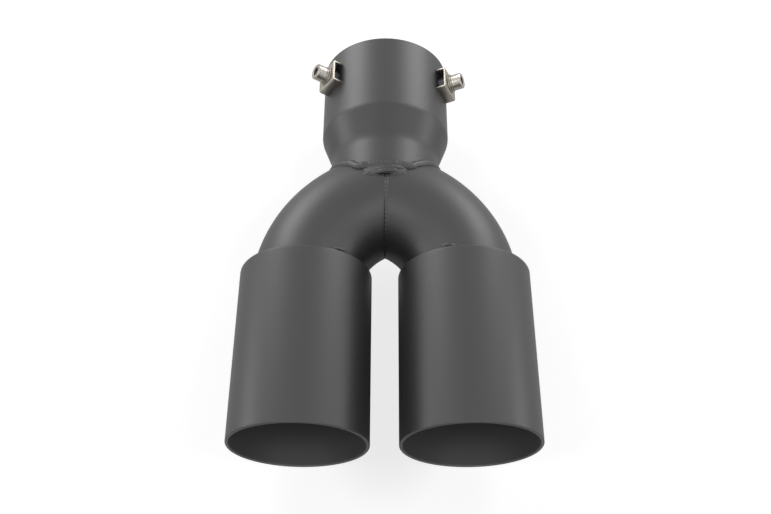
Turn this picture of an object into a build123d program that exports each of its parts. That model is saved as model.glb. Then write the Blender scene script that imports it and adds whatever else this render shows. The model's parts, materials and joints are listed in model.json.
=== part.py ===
from build123d import *
import os
from math import cos, radians, sin, sqrt

# Dual exhaust tip in millimetres. The origin is the centre of the inlet's rim, +Y points out of the inlet
# towards the tail pipe, the two outlets look along -Y, and +Z is up as the tip lies on its back.

# Tail pipe and inlet collar
pipe_diameter = 76.2
pipe_clearance = 0.35
collar_wall = 1.2
collar_length = 51.7
reduction_length = 17.8
neck_length = 28.2
foot_rise = 0.6
rim_rounding = 0.4
reduction_rounding = 5.5

# Bent tubes
bend_diameter = 63.0
bend_wall = 1.2
bend_radius = 61.5
tube_slip = 0.1

# Outlets
outlet_diameter = 76.2
outlet_wall = 1.7
outlet_length = 100.2
outlet_spacing = 91.5
shoulder_corner = 2.4
shoulder_rise = 1.2
bend_insertion = 8.0
bend_tail = 6.0
mouth_rounding = 0.8

# Radii of the weld beads, and how far the middle of each stands off the surface that it runs along
neck_bead = 1.7
neck_bead_lift = 0.6
mitre_bead = 1.3
mitre_bead_lift = -0.8
outlet_bead = 1.4
outlet_bead_lift = 0.3

# Clamps on the collar
clamp_inset = 19.4
clamp_angles = {"left": -54.5, "right": 65.5}
coat_gap = 0.05
bracket_length = 15.3
bracket_width = 16.4
bracket_height = 5.7
bracket_plate = 1.2
bracket_corner = 1.4

# M6 hardware
screw_diameter = 6.0
thread_gap = 0.1
web_hole_gap = 0.4
washer_gap = 0.2
screw_head_diameter = 10.0
screw_head_height = 6.0
screw_head_chamfer = 0.6
socket_across_flats = 5.0
socket_depth = 3.2
tip_above_bore = 0.15
nut_across_flats = 10.0
nut_gap = 0.3
flat_washer_diameter = 12.0
flat_washer_thickness = 0.9
lock_washer_diameter = 10.4
lock_washer_thickness = 1.2
lock_washer_slit = 0.8

# Radii that follow from the sizes above
bore_radius = pipe_diameter / 2 + pipe_clearance
collar_radius = bore_radius + collar_wall
bend_outer = bend_diameter / 2
bend_bore = bend_outer - bend_wall
neck_bore = bend_outer + 2 * tube_slip
neck_radius = neck_bore + collar_wall
outlet_radius = outlet_diameter / 2
half_spacing = outlet_spacing / 2

# Places along Y, from the rim down to the mouths
crease_y = -collar_length
neck_top_y = crease_y - reduction_length
neck_foot_y = neck_top_y - neck_length
mitre_y = neck_foot_y - foot_rise
arc_offset = bend_radius - half_spacing
arc_rise = sqrt(bend_radius**2 - arc_offset**2)
bend_start_y = mitre_y - arc_rise
outlet_rear_y = bend_start_y + bend_insertion
mouth_y = outlet_rear_y - outlet_length
shoulder_y = outlet_rear_y + shoulder_rise
clamp_y = -clamp_inset

# Middle and radius of the bend's outline where the shoulder meets it
shoulder_height = shoulder_y - bend_start_y
outline_far = sqrt((bend_radius + bend_outer) ** 2 - shoulder_height**2) - arc_offset
outline_near = sqrt((bend_radius - bend_outer) ** 2 - shoulder_height**2) - arc_offset
outline_middle = (outline_far + outline_near) / 2
outline_radius = (outline_far - outline_near) / 2

# Turns in degrees, and where the points of the weld seams lie. The mitre's bead starts a little way round
# the tube, just below the neck's bead.
quarter_turn = 90
half_turn = 180
hexagon_sides = 6
neck_seam_step = 15
mitre_seam_start = 3
mitre_seam_points = 15

bend_section = Plane(origin=(half_spacing, bend_start_y, 0), x_dir=(1, 0, 0), z_dir=(0, -1, 0))
bend_pivot = Axis((-arc_offset, bend_start_y, 0), (0, 0, 1))
outlet_axis = Axis((half_spacing, 0, 0), (0, 1, 0))


def outward(angle):
    """Direction out of the collar at an angle about its axis from +Z towards +X."""
    return Vector(sin(radians(angle)), 0, cos(radians(angle)))


def across(angle, height):
    """Plane square to a clamp's screw, at a radius from the collar's axis."""
    return Plane(Vector(0, clamp_y, 0) + outward(angle) * height, x_dir=(0, 1, 0), z_dir=outward(angle))


def neck_seam(turn):
    """Point of the seam between neck and bends, at an angle about the neck from +Z towards +X."""
    x = (neck_radius + neck_bead_lift) * sin(radians(turn))
    z = (neck_radius + neck_bead_lift) * cos(radians(turn))
    half_width = max((bend_outer + neck_bead_lift) ** 2 - z**2, 0)
    reach = bend_radius + sqrt(half_width)
    y = bend_start_y + sqrt(reach**2 - (abs(x) + arc_offset) ** 2)
    return (x, max(y, neck_foot_y), z)


def mitre_seam(turn):
    """Point of the seam between the two bends, at an angle about the tube from +Z towards the mouths."""
    inward = (bend_outer + mitre_bead_lift) * sin(radians(turn))
    y = bend_start_y + sqrt((bend_radius - inward) ** 2 - arc_offset**2)
    return (0, y, (bend_outer + mitre_bead_lift) * cos(radians(turn)))


# Solid rod a slip larger than the bent tube, which cuts what fits around the tube
with BuildPart() as tube_clearance:
    with BuildSketch(bend_section) as rod_section:
        Circle(bend_outer + tube_slip)
    extrude(amount=bend_tail + bend_insertion)
    revolve(rod_section.sketch, axis=bend_pivot, revolution_arc=quarter_turn)
    split(bisect_by=Plane.YZ, keep=Keep.TOP)

# Bent tube, cut at the mitre plane and opened towards the neck
with BuildPart() as right_bend:
    with BuildSketch(bend_section) as tube_section:
        Circle(bend_outer)
        Circle(bend_bore, mode=Mode.SUBTRACT)
    extrude(amount=bend_tail)
    revolve(tube_section.sketch, axis=bend_pivot, revolution_arc=quarter_turn)
    split(bisect_by=Plane.YZ, keep=Keep.TOP)
    with BuildSketch(Plane.XZ.offset(-mitre_y)):
        Circle(bend_bore - bend_wall)
    extrude(amount=-(neck_length + reduction_length), mode=Mode.SUBTRACT)

with BuildPart() as left_bend:
    mirror(right_bend.part, about=Plane.YZ)

# Outlet tube with a rounded mouth and a spun shoulder that holds the bend
with BuildPart() as right_outlet:
    with BuildSketch(Plane.XY):
        with BuildLine():
            FilletPolyline(
                (half_spacing + outlet_radius, mouth_y),
                (half_spacing + outlet_radius, outlet_rear_y),
                (half_spacing + bend_outer - outlet_wall, shoulder_y),
                radius=shoulder_corner,
            )
            offset(amount=outlet_wall, side=Side.LEFT)
        make_face()
    revolve(axis=outlet_axis)
    add(tube_clearance.part, mode=Mode.SUBTRACT)
    mouth_edges = right_outlet.edges().filter_by(GeomType.CIRCLE).group_by(Axis.Y)[0]
    fillet(mouth_edges, radius=mouth_rounding)

with BuildPart() as left_outlet:
    mirror(right_outlet.part, about=Plane.YZ)

# Inlet collar: straight socket, conical reduction and a neck coped over the bends
with BuildPart() as inlet_collar:
    with BuildSketch(Plane.XY):
        with BuildLine():
            FilletPolyline(
                (collar_radius, 0),
                (collar_radius, crease_y),
                (neck_radius, neck_top_y),
                (neck_radius, neck_foot_y),
                radius=reduction_rounding,
            )
            offset(amount=collar_wall, side=Side.RIGHT)
        make_face()
    revolve(axis=Axis.Y)
    rim_edges = inlet_collar.edges().filter_by(GeomType.CIRCLE).group_by(Axis.Y)[-1]
    fillet(rim_edges, radius=rim_rounding)
    add(tube_clearance.part, mode=Mode.SUBTRACT)
    mirror(tube_clearance.part, about=Plane.YZ, mode=Mode.SUBTRACT)
    for angle in clamp_angles.values():
        with BuildSketch(across(angle, 0)):
            Circle(screw_diameter / 2 + web_hole_gap)
        extrude(amount=collar_radius + collar_wall, mode=Mode.SUBTRACT)

# Weld bead around the foot of the neck, sunk into the neck and both bends as weld metal is. The right half
# is swept a step past the middle at each end, cut there and mirrored.
with BuildPart() as collar_weld:
    with BuildLine() as neck_path:
        turns = range(-neck_seam_step, half_turn + 2 * neck_seam_step, neck_seam_step)
        Spline(*[neck_seam(turn) for turn in turns])
    with BuildSketch(Plane(origin=neck_path.line @ 0, z_dir=neck_path.line % 0)):
        Circle(neck_bead)
    sweep(path=neck_path.line)
    split(bisect_by=Plane.YZ, keep=Keep.TOP)
    mirror(about=Plane.YZ)

# Flat weld bead along the mitre, from the neck around the crotch to the back of the neck
with BuildPart() as mitre_weld:
    mitre_step = (half_turn - 2 * mitre_seam_start) / (mitre_seam_points - 1)
    with BuildLine() as mitre_path:
        Spline(*[mitre_seam(mitre_seam_start + i * mitre_step) for i in range(mitre_seam_points)])
    with BuildSketch(Plane(origin=mitre_path.line @ 0, z_dir=mitre_path.line % 0)):
        Circle(mitre_bead)
    sweep(path=mitre_path.line)
    add(tube_clearance.part, mode=Mode.SUBTRACT)
    mirror(tube_clearance.part, about=Plane.YZ, mode=Mode.SUBTRACT)

# Plug with the slope of the outlet's shoulder, which gives the weld bead its flat foot
with BuildPart() as shoulder_clearance:
    with BuildSketch(Plane.XY):
        with BuildLine():
            Polyline(
                (half_spacing, outlet_rear_y - outlet_bead),
                (half_spacing + outlet_radius, outlet_rear_y - outlet_bead),
                (half_spacing + outlet_radius, outlet_rear_y),
                (half_spacing + bend_outer - outlet_wall, shoulder_y),
                (half_spacing, shoulder_y),
                close=True,
            )
        make_face()
    revolve(axis=outlet_axis)

# Weld bead around the bend on the outlet's shoulder
with BuildPart() as right_outlet_weld:
    with BuildSketch(Plane.XY):
        with Locations((outline_middle + outline_radius + outlet_bead_lift, shoulder_y)):
            Circle(outlet_bead)
    revolve(axis=Axis((outline_middle, 0, 0), (0, 1, 0)))
    add(shoulder_clearance.part, mode=Mode.SUBTRACT)
    add(tube_clearance.part, mode=Mode.SUBTRACT)

with BuildPart() as left_outlet_weld:
    mirror(right_outlet_weld.part, about=Plane.YZ)

# Core as wide as the collar, which gives the clamp parts their curved feet
with BuildPart() as collar_core:
    with BuildSketch(Plane.XZ):
        Circle(collar_radius + coat_gap)
    extrude(amount=collar_length)

pieces = {
    "inlet_collar": inlet_collar,
    "left_bend": left_bend,
    "right_bend": right_bend,
    "left_outlet": left_outlet,
    "right_outlet": right_outlet,
    "collar_weld": collar_weld,
    "mitre_weld": mitre_weld,
    "left_outlet_weld": left_outlet_weld,
    "right_outlet_weld": right_outlet_weld,
}

web_top = collar_radius + bracket_height
web_under = web_top - bracket_plate
lock_washer_foot = web_top + flat_washer_thickness
head_foot = lock_washer_foot + lock_washer_thickness
head_top = head_foot + screw_head_height
tip_radius = bore_radius + tip_above_bore
nut_top = web_under - nut_gap

for side, angle in clamp_angles.items():
    along_collar = Vector(0, 1, 0)
    around_collar = along_collar.cross(outward(angle))
    screw_axis = Axis((0, clamp_y, 0), outward(angle))

    # Bracket: a U channel with its web outwards and its legs cut to the collar
    with BuildPart() as bracket:
        with BuildSketch(Plane((0, clamp_y, 0), x_dir=along_collar, z_dir=around_collar)):
            with BuildLine():
                FilletPolyline(
                    (-bracket_length / 2, bore_radius),
                    (-bracket_length / 2, web_top),
                    (bracket_length / 2, web_top),
                    (bracket_length / 2, bore_radius),
                    radius=bracket_corner,
                )
                offset(amount=bracket_plate, side=Side.RIGHT)
            make_face()
        extrude(amount=bracket_width / 2, both=True)
        add(collar_core.part, mode=Mode.SUBTRACT)
        with BuildSketch(across(angle, web_under)):
            Circle(screw_diameter / 2 + web_hole_gap)
        extrude(amount=bracket_plate, mode=Mode.SUBTRACT)

    # Hexagon nut, welded to the collar with two of its flats against the bracket's legs
    with BuildPart() as nut:
        with BuildSketch(across(angle, bore_radius)):
            flats_to_legs = half_turn / hexagon_sides
            RegularPolygon(nut_across_flats / 2, hexagon_sides, major_radius=False, rotation=flats_to_legs)
            Circle(screw_diameter / 2 + thread_gap, mode=Mode.SUBTRACT)
        extrude(amount=nut_top - bore_radius)
        add(collar_core.part, mode=Mode.SUBTRACT)

    with BuildPart() as flat_washer:
        with BuildSketch(across(angle, web_top)):
            Circle(flat_washer_diameter / 2)
            Circle(screw_diameter / 2 + washer_gap, mode=Mode.SUBTRACT)
        extrude(amount=flat_washer_thickness)

    with BuildPart() as lock_washer:
        with BuildSketch(across(angle, lock_washer_foot)):
            Circle(lock_washer_diameter / 2)
            Circle(screw_diameter / 2 + washer_gap, mode=Mode.SUBTRACT)
            with Locations((lock_washer_diameter / 2, 0)):
                Rectangle(lock_washer_diameter / 2, lock_washer_slit, mode=Mode.SUBTRACT)
        extrude(amount=lock_washer_thickness)

    # Socket-head cap screw whose tip ends level with the collar's bore
    with BuildPart() as clamp_screw:
        with BuildSketch(across(angle, head_foot)):
            Circle(screw_head_diameter / 2)
        extrude(amount=screw_head_height)
        rim = clamp_screw.edges().filter_by(GeomType.CIRCLE).sort_by(screw_axis)[-1]
        chamfer(rim, length=screw_head_chamfer)
        with BuildSketch(across(angle, head_top)):
            RegularPolygon(socket_across_flats / 2, hexagon_sides, major_radius=False)
        extrude(amount=-socket_depth, mode=Mode.SUBTRACT)
        with BuildSketch(across(angle, tip_radius)):
            Circle(screw_diameter / 2)
        extrude(amount=head_foot - tip_radius)

    pieces[side + "_bracket"] = bracket
    pieces[side + "_nut"] = nut
    pieces[side + "_flat_washer"] = flat_washer
    pieces[side + "_lock_washer"] = lock_washer
    pieces[side + "_clamp_screw"] = clamp_screw

os.makedirs("parts", exist_ok=True)
for name, piece in pieces.items():
    piece.part.label = name
    export_step(piece.part, "parts/" + name + ".step")
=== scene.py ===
import json
from math import acos, atan2, cos, pi, radians, sin, sqrt, tan

import bmesh
import bpy
from bpy.props import FloatProperty, FloatVectorProperty, IntProperty, PointerProperty
from mathutils import Euler, Matrix, Vector


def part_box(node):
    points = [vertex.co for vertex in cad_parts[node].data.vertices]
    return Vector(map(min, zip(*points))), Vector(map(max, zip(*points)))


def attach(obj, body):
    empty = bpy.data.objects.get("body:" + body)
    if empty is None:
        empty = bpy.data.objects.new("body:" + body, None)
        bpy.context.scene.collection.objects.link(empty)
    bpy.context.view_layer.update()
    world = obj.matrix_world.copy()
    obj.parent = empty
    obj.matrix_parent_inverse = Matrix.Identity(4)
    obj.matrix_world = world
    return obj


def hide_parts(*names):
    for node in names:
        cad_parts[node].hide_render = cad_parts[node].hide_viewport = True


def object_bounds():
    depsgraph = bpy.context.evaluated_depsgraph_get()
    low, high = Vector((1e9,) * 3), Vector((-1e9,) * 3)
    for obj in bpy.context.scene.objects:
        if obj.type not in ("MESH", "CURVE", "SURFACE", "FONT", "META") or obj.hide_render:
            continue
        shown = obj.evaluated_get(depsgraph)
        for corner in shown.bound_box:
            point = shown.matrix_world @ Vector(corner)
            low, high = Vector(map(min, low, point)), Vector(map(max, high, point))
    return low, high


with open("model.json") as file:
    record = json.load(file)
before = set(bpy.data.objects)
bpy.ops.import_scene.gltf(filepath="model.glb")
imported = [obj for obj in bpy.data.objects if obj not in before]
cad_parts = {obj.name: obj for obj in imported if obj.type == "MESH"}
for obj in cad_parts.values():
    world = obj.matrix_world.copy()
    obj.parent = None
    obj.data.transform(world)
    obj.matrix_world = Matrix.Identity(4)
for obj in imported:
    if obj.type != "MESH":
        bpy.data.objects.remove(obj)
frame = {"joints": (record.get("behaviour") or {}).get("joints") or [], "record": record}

bl_info = {
    "name": "Dual Exhaust Tip",
    "version": (1, 0, 0),
    "blender": (4, 5, 0),
    "location": "3D View > Sidebar > Exhaust Tip",
    "description": "Dresses the packed dual exhaust tip with its tubes, weld beads, clamps and finishes",
    "category": "Object",
}

# Places and radii that the frame gives, in metres
CAD_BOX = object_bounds()
BORE_RADIUS = frame["record"]["mounts"][0]["dims"]["r_mm"] / 1000
COLLAR_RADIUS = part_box("inlet_collar")[1].z
COLLAR_WALL = COLLAR_RADIUS - BORE_RADIUS
NECK_FOOT_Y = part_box("inlet_collar")[0].y
TUBE_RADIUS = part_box("right_bend")[1].z
TUBE_END_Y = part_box("right_bend")[0].y
HALF_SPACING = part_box("right_bend")[1].x - TUBE_RADIUS
OUTLET_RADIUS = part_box("right_outlet")[1].z
MOUTH_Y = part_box("right_outlet")[0].y
CLAMP_Y = (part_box("left_clamp_screw")[0].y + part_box("left_clamp_screw")[1].y) / 2
CLAMP_TURN = {
    joint["name"].split("_")[0]: atan2(joint["axis"][0], joint["axis"][2]) for joint in frame["joints"]
}
SIDES = {"left": -1, "right": 1}
FULL_TURN = 2 * pi

# Points around the tubes that are turned, and distance of the points that keep their faces' shading flat
TUBE_STEPS = 256
TUBE_SUPPORT = 0.0008
WASHER_STEPS = 96
WASHER_SUPPORT = 0.0003


def length(name, description, default):
    """Length property in metres."""
    return FloatProperty(name=name, description=description, default=default, unit="LENGTH", precision=5)


def colour(name, description, default):
    """Colour property, linear."""
    return FloatVectorProperty(
        name=name, description=description, default=default, size=3, min=0, max=1, subtype="COLOR"
    )


def share(name, description, default, top=1.0):
    """Factor property from 0 to its top."""
    return FloatProperty(
        name=name, description=description, default=default, min=0, max=top, subtype="FACTOR"
    )


def power(name, description, default):
    """Power property in watts."""
    return FloatProperty(name=name, description=description, default=default, min=0, unit="POWER")


class TubeSizes(bpy.types.PropertyGroup):
    """Sizes of the collar, the bent tubes and the outlets."""

    collar_length: length("Collar length", "Length of the straight collar", 0.0517)
    rim_rounding: length("Rim rounding", "Radius on the edges of the inlet's rim", 0.0004)
    reduction_length: length("Reduction length", "Length of the cone from collar to neck", 0.0178)
    shoulder_rounding: length("Shoulder rounding", "Radius where the collar folds into the cone", 0.010)
    neck_rounding: length("Neck rounding", "Radius where the cone flows into the neck", 0.020)
    neck_slip: length("Neck slip", "Gap between the neck's bore and the bent tubes", 0.0002)
    bend_radius: length("Bend radius", "Radius of the bent tubes' centreline", 0.0615)
    bend_wall: length("Bend wall", "Wall of the bent tubes", 0.0012)
    bend_tail: length("Bend tail", "Straight end of each bent tube", 0.006)
    bend_insertion: length("Bend insertion", "How far each bend starts inside its outlet", 0.009)
    groove_width: length("Mitre groove", "Rounding of the bends' outer edges at the mitre", 0.0006)
    outlet_wall: length("Outlet wall", "Wall of the outlets", 0.0017)
    shoulder_corner: length("Shoulder corner", "Radius at the outlets' rear corner", 0.0015)
    shoulder_rise: length("Shoulder rise", "Rise of the spun shoulder towards the bend", 0.0012)
    mouth_rounding: length("Mouth rounding", "Radius on the edges of the mouths", 0.00078)


class WeldSizes(bpy.types.PropertyGroup):
    """Sizes of the weld beads."""

    neck_bead: length("Neck bead", "Radius of the bead around the neck", 0.0026)
    neck_lift: length("Neck lift", "How far the neck bead's middle stands off the neck", -0.0004)
    valley_rise: length("Valley rise", "How far the neck bead stays above the neck's foot", 0.0070)
    valley_depth: length("Valley depth", "How far the neck bead sinks at the mitre", 0.0016)
    mitre_bead: length("Mitre bead", "Radius of the bead along the mitre", 0.0016)
    mitre_lift: length("Mitre lift", "How far the mitre bead's middle stands off the tubes", -0.0013)
    mitre_shift: length("Mitre shift", "How far the mitre bead lies beside the groove", 0.0009)
    outlet_bead: length("Outlet bead", "Radius of the beads behind the outlets", 0.0013)
    outlet_lift: length("Outlet lift", "How far the outlet bead's middle stands off the tube", 0.0002)
    tack_rise: length("Tack rise", "How far the short pass rises over the outlet's bead", 0.0016)
    tack_share: share("Tack share", "Radius of the short pass over the outlet bead's", 0.8)
    ripple_pitch: length("Ripple pitch", "Spacing of the ripples along a bead", 0.0024)
    ripple_height: length("Ripple height", "Height of the ripples", 0.00022)
    lump_size: length("Lump size", "Size of the lumps on a bead", 0.0035)
    lump_height: length("Lump height", "Height of the lumps", 0.0006)
    seed: IntProperty(name="Seed", description="Start of the beads' noise", default=4, min=0)


class ClampSizes(bpy.types.PropertyGroup):
    """Sizes of the clamps' brackets, nuts, washers and screws."""

    coat_gap: length("Coat gap", "Gap between the collar and what stands on it", 0.00005)
    bracket_length: length("Bracket length", "Bracket's length along the collar", 0.0153)
    bracket_width: length("Bracket width", "Bracket's width around the collar", 0.0164)
    bracket_height: length("Bracket height", "Height of the web over the collar", 0.0057)
    bracket_plate: length("Bracket plate", "Plate that the bracket is folded from", 0.0012)
    bracket_corner: length("Bracket corner", "Outer radius of the folds", 0.0014)
    edge_break: length("Edge break", "Rounding of the bracket's cut edges", 0.00012)
    nut_flats: length("Nut flats", "Width of the nut across its flats", 0.010)
    nut_gap: length("Nut gap", "Gap between the nut and the web", 0.0003)
    thread_gap: length("Thread gap", "Gap around the screw in the nut", 0.0001)
    hole_gap: length("Hole gap", "Gap around the screw in the web and the collar", 0.0004)
    washer_gap: length("Washer gap", "Gap around the screw in the washers", 0.0002)
    flat_washer_radius: length("Flat washer radius", "Outer radius of the flat washer", 0.006)
    flat_washer_plate: length("Flat washer plate", "Thickness of the flat washer", 0.0009)
    lock_washer_radius: length("Lock washer radius", "Outer radius of the lock washer", 0.0052)
    lock_washer_plate: length("Lock washer plate", "Thickness of the lock washer", 0.0012)
    lock_washer_slit: length("Lock washer slit", "Width of the lock washer's slit", 0.0008)
    screw_radius: length("Screw radius", "Radius of the screw's shank", 0.003)
    thread_pitch: length("Thread pitch", "Pitch of the screw's thread", 0.001)
    thread_depth: length("Thread depth", "Depth of the screw's thread", 0.0005)
    tip_height: length("Tip height", "How far the screw's tip ends above the bore", 0.00015)
    head_radius: length("Head radius", "Radius of the screw's head", 0.005)
    head_height: length("Head height", "Height of the screw's head", 0.006)
    head_chamfer: length("Head chamfer", "Chamfer on the head's rim", 0.0006)
    socket_flats: length("Socket flats", "Width of the hexagon socket across its flats", 0.005)
    socket_depth: length("Socket depth", "Depth of the hexagon socket", 0.0032)
    knurl_depth: length("Knurl depth", "Depth of the knurl on the head's side", 0.00009)
    knurl_teeth: IntProperty(name="Knurl teeth", description="Teeth around the head", default=36, min=6)


class TipFinish(bpy.types.PropertyGroup):
    """Colours and roughness of the finishes."""

    coat: colour("Coat", "Colour of the powder coat", (0.03, 0.03, 0.0305))
    coat_roughness: share("Coat roughness", "Roughness of the powder coat", 0.46)
    coat_specular: share("Coat specular", "Strength of the powder coat's reflections", 0.78)
    coat_mottle: share("Coat mottle", "How much the coat's tone varies", 0.10)
    # Inside is painted light: a lighter copy of the coat on the outlets' inner walls, standing in for the
    # light that falls into the mouths
    inside: colour("Inside", "Colour of the thinner coat inside the outlets", (0.13, 0.13, 0.13))
    strip: colour("Strip", "Colour of the brackets' plated strip", (0.46, 0.43, 0.38))
    screw: colour("Screw", "Colour of the plated screws", (0.52, 0.49, 0.44))
    washer: colour("Washer", "Colour of the washers", (0.42, 0.39, 0.34))
    tarnish: colour("Tarnish", "Colour of the dull streaks on the plating", (0.08, 0.07, 0.055))
    # Nut is the nuts' own bluish coat, made lighter as painted light that lifts them out of the shade
    # inside their brackets
    nut: colour("Nut", "Colour of the coated nuts", (0.05, 0.052, 0.06))


class StudioSettings(bpy.types.PropertyGroup):
    """Camera, floor and lamps."""

    lens: FloatProperty(
        name="Lens", description="Focal length of the camera", default=41.8146, unit="CAMERA"
    )
    sensor: FloatProperty(
        name="Sensor", description="Width of the camera's sensor", default=36, unit="CAMERA"
    )
    camera_place: FloatVectorProperty(
        name="Camera place", description="Where the camera stands",
        default=(0.003546, -0.39698, 0.458508), unit="LENGTH", precision=5,
    )
    camera_turn: FloatVectorProperty(
        name="Camera turn", description="How the camera is turned",
        default=(radians(29.7214), radians(0.3297), radians(0.1374)), subtype="EULER",
    )
    floor_size: length("Floor size", "Side of the square floor", 6.0)
    world_level: share("World level", "Strength of the light from all around", 0.03, 4.0)
    backdrop_level: share(
        "Backdrop level", "Brightness of the backdrop in the camera and in reflections", 1.0, 2.0
    )
    floor_level: share("Floor level", "Brightness of the paper around the tip in the camera", 0.80, 2.0)
    floor_reflected: share("Floor reflected", "Brightness of the paper in reflections", 0.45, 2.0)
    floor_albedo: share("Floor albedo", "How much light the paper throws back", 0.5)
    # Painted shade on the paper between the outlets: its darkened albedo, and the size of the darkened
    # patch
    painted_shade_albedo: share("Shade albedo", "How much of it the paper between the outlets throws back", 0.06)
    paper_start: length("Paper start", "Distance at which the paper starts to get white", 0.3)
    paper_end: length("Paper end", "Distance at which the paper is white", 0.9)
    shade_width: length("Shade width", "Half the width of the shade between the outlets", 0.035)
    shade_length: length("Shade length", "Half the length of the shade between the outlets", 0.06)
    left_rear: power("Left rear", "Power of the lamp behind on the left", 5.6)
    right_rear: power("Right rear", "Power of the lamp behind on the right", 5.1)
    left_flank: power("Left flank", "Power of the lamp beside the left outlet", 2.2)
    right_flank: power("Right flank", "Power of the lamp beside the right outlet", 1.9)
    left_front: power("Left front", "Power of the high lamp in front on the left", 1.5)
    right_front: power("Right front", "Power of the high lamp in front on the right", 1.5)
    front: power("Front", "Power of the lamp in front", 1.6)


def tubes():
    """Scene's tube sizes."""
    return bpy.context.scene.tip_tubes


def welds():
    """Scene's weld sizes."""
    return bpy.context.scene.tip_welds


def clamps():
    """Scene's clamp sizes."""
    return bpy.context.scene.tip_clamps


def finish():
    """Scene's finishes."""
    return bpy.context.scene.tip_finish


def studio():
    """Scene's studio settings."""
    return bpy.context.scene.tip_studio


# Node trees


def add_node(tree, kind, inputs=None, **settings):
    """Node with its settings made, and its sockets set to values or linked to other sockets."""
    made = tree.nodes.new(kind)
    for name, value in settings.items():
        setattr(made, name, value)
    for socket, value in (inputs or {}).items():
        if isinstance(value, bpy.types.NodeSocket):
            tree.links.new(value, made.inputs[socket])
        else:
            made.inputs[socket].default_value = value
    return made


def add_math(tree, operation, *values):
    """Output of a Math node."""
    return add_node(tree, "ShaderNodeMath", dict(enumerate(values)), operation=operation).outputs[0]


def add_vector_math(tree, operation, *values):
    """Output of a Vector Math node: a number from LENGTH, and a vector from the others."""
    sockets = (0, "Scale") if operation == "SCALE" else (0, 1)
    made = add_node(tree, "ShaderNodeVectorMath", dict(zip(sockets, values)), operation=operation)
    return made.outputs["Value" if operation == "LENGTH" else "Vector"]


def add_noise(tree, place, scale, detail, roughness=0.5, seed=None):
    """Outputs of a Noise node, which has a fourth dimension where it gets a seed."""
    inputs = {"Vector": place, "Scale": scale, "Detail": detail, "Roughness": roughness}
    if seed is None:
        return add_node(tree, "ShaderNodeTexNoise", inputs).outputs
    return add_node(tree, "ShaderNodeTexNoise", {**inputs, "W": seed}, noise_dimensions="4D").outputs


def object_place(tree):
    """Object coordinates."""
    return add_node(tree, "ShaderNodeTexCoord").outputs["Object"]


def new_group(name, kind, inputs, outputs):
    """Node group with its sockets, its input node and its output node."""
    tree = bpy.data.node_groups.new(name, kind)
    for socket, (socket_type, default) in inputs.items():
        made = tree.interface.new_socket(socket, in_out="INPUT", socket_type=socket_type)
        if default is not None:
            made.default_value = default
    for socket, socket_type in outputs.items():
        tree.interface.new_socket(socket, in_out="OUTPUT", socket_type=socket_type)
    return tree, tree.nodes.new("NodeGroupInput"), tree.nodes.new("NodeGroupOutput")


# Shader groups


def grain_group():
    """Mottled tone and fine pimples of a sprayed coat."""
    name = "Sprayed grain"
    if name in bpy.data.node_groups:
        return bpy.data.node_groups[name]
    tree, given, out = new_group(
        name,
        "ShaderNodeTree",
        {
            "Cloud Scale": ("NodeSocketFloat", 60.0),
            "Grain Scale": ("NodeSocketFloat", 1100.0),
            "Speckle Scale": ("NodeSocketFloat", 2600.0),
        },
        {"Tone": "NodeSocketFloat", "Speckle": "NodeSocketFloat", "Height": "NodeSocketFloat"},
    )
    place = object_place(tree)
    cloud = add_noise(tree, place, given.outputs["Cloud Scale"], detail=4.0, roughness=0.6)
    grain = add_noise(tree, place, given.outputs["Grain Scale"], detail=2.0, roughness=0.55)
    speckle = add_noise(tree, place, given.outputs["Speckle Scale"], detail=1.0)
    speckle_share = 0.35
    blend = add_node(
        tree, "ShaderNodeMix", {"Factor": speckle_share, "A": grain["Fac"], "B": speckle["Fac"]}
    )
    tree.links.new(cloud["Fac"], out.inputs["Tone"])
    tree.links.new(speckle["Fac"], out.inputs["Speckle"])
    tree.links.new(blend.outputs[0], out.inputs["Height"])
    return tree


def streak_group():
    """Streaks of rolled and plated steel along one direction, with patches of tarnish."""
    name = "Rolled streaks"
    if name in bpy.data.node_groups:
        return bpy.data.node_groups[name]
    tree, given, out = new_group(
        name,
        "ShaderNodeTree",
        {
            "Turn": ("NodeSocketVector", None),
            "Stretch": ("NodeSocketVector", None),
            "Patch Scale": ("NodeSocketFloat", 260.0),
            "Patch Cover": ("NodeSocketFloat", 0.45),
        },
        {"Streak": "NodeSocketFloat", "Tarnish": "NodeSocketFloat", "Height": "NodeSocketFloat"},
    )
    flat = add_node(
        tree, "ShaderNodeMapping", {"Vector": object_place(tree), "Rotation": given.outputs["Turn"]}
    ).outputs[0]
    stretched = add_vector_math(tree, "MULTIPLY", flat, given.outputs["Stretch"])
    streak = add_noise(tree, stretched, scale=1.0, detail=5.0, roughness=0.7)["Fac"]
    patch = add_noise(tree, flat, given.outputs["Patch Scale"], detail=4.0, roughness=0.65)["Fac"]
    streak_share = 0.45
    least = 1.2
    sharpness = 4.0
    over = add_math(tree, "SUBTRACT", add_math(tree, "MULTIPLY_ADD", streak, streak_share, patch), least)
    cover = add_math(tree, "ADD", over, given.outputs["Patch Cover"])
    tarnish = add_node(tree, "ShaderNodeClamp", {0: add_math(tree, "MULTIPLY", cover, sharpness)})
    tree.links.new(streak, out.inputs["Streak"])
    tree.links.new(tarnish.outputs[0], out.inputs["Tarnish"])
    tree.links.new(streak, out.inputs["Height"])
    return tree


# Materials, none named after a slot, because the loaded solids bring materials with those names


def new_material(name):
    """Material with a Principled shader, or the one already made under that name."""
    found = bpy.data.materials.get(name)
    if found:
        return found, None, None
    material = bpy.data.materials.new(name)
    material.use_nodes = True
    tree = material.node_tree
    return material, tree, tree.nodes["Principled BSDF"]


def tinted(tree, factor, low, high):
    """Colour between two colours, or sockets of colours, by a factor."""
    low, high = (
        part if isinstance(part, bpy.types.NodeSocket) else (*part, 1) for part in (low, high)
    )
    return add_node(tree, "ShaderNodeMix", {0: factor, 6: low, 7: high}, data_type="RGBA").outputs[2]


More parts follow.
